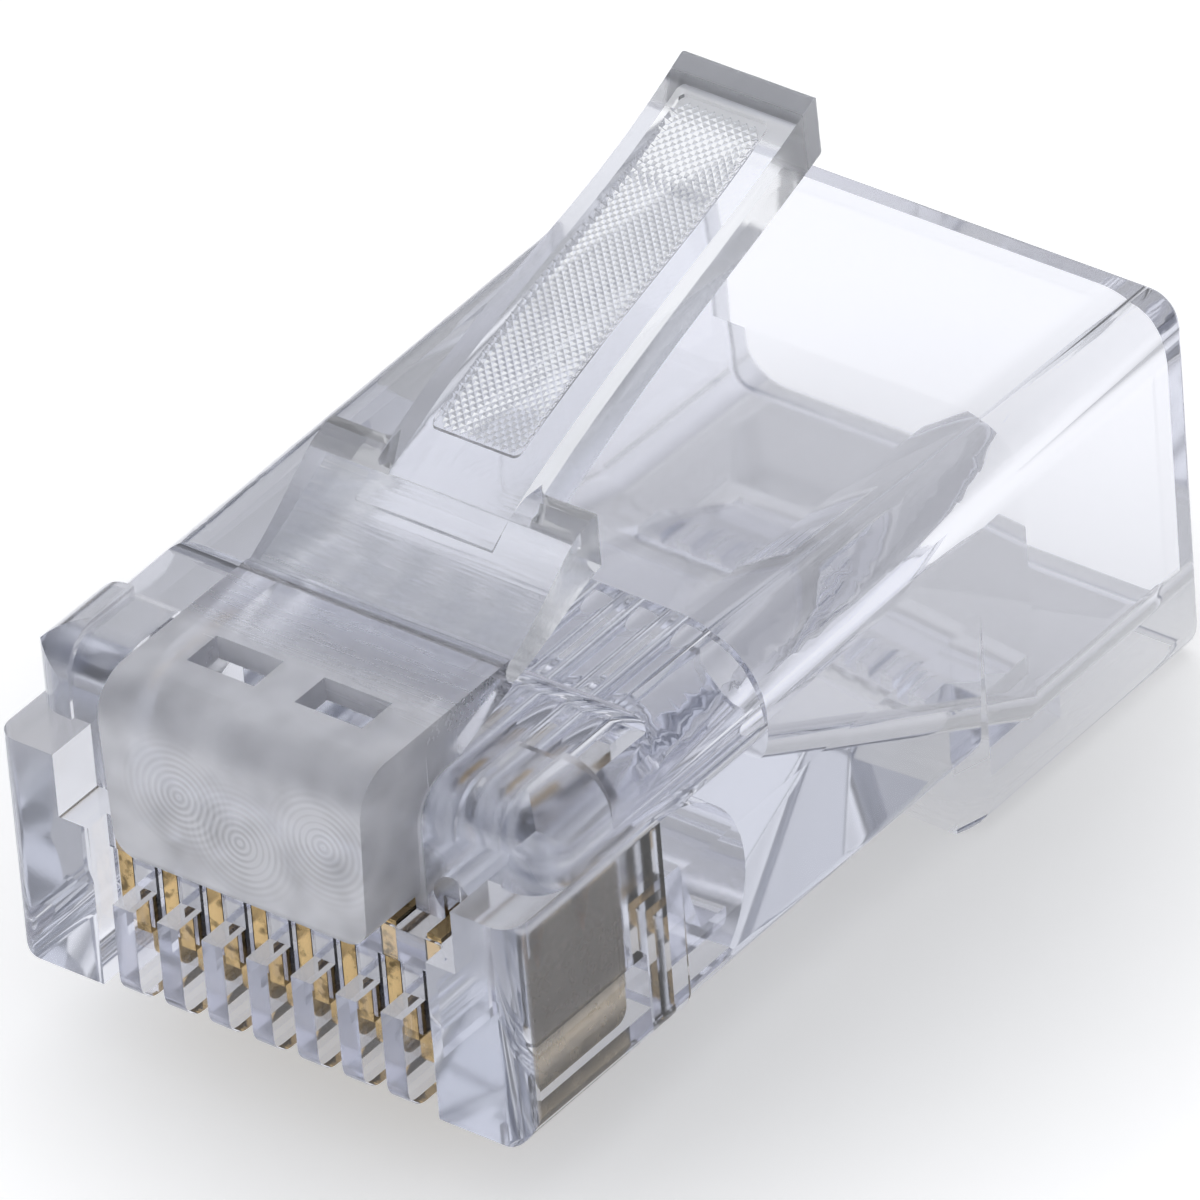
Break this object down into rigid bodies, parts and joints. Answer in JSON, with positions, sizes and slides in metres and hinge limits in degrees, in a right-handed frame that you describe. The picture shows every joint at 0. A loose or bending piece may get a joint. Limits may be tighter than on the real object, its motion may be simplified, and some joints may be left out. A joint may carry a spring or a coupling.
{
  "type": "rj45 modular plug",
  "caption": "Clear modular network plug with comb nose, slotted blade contacts, sprung latch lever, stepped cable foot and rear cable cavity.",
  "frame": {"origin": "centre of the bounding box in X and Y, at the bottom face of the cable foot in Z", "axes": "+Z towards the latch side, -Y towards the nose that enters the jack, +Y towards the cable end"},
  "size_m": [0.0116, 0.021, 0.0137],
  "materials": {
    "clear_plastic": "clear, glossy, frosted at the nose",
    "gold_contact": "gold plated"
  },
  "bodies": {
    "plug": {"housing": "clear_plastic", "contact_1": "gold_contact", "contact_2": "gold_contact", "contact_3": "gold_contact", "contact_4": "gold_contact", "contact_5": "gold_contact", "contact_6": "gold_contact", "contact_7": "gold_contact", "contact_8": "gold_contact"},
    "latch": {"latch_lever": "clear_plastic"}
  },
  "joints": [
    {"name": "latch_flex", "type": "hinge", "parent": "plug", "child": "latch", "pos_m": [0, -0.0059, 0.00863], "axis": [-1, 0, 0], "range_deg": [0, 18], "stiffness_Nm_per_rad": 0.15}
  ]
}
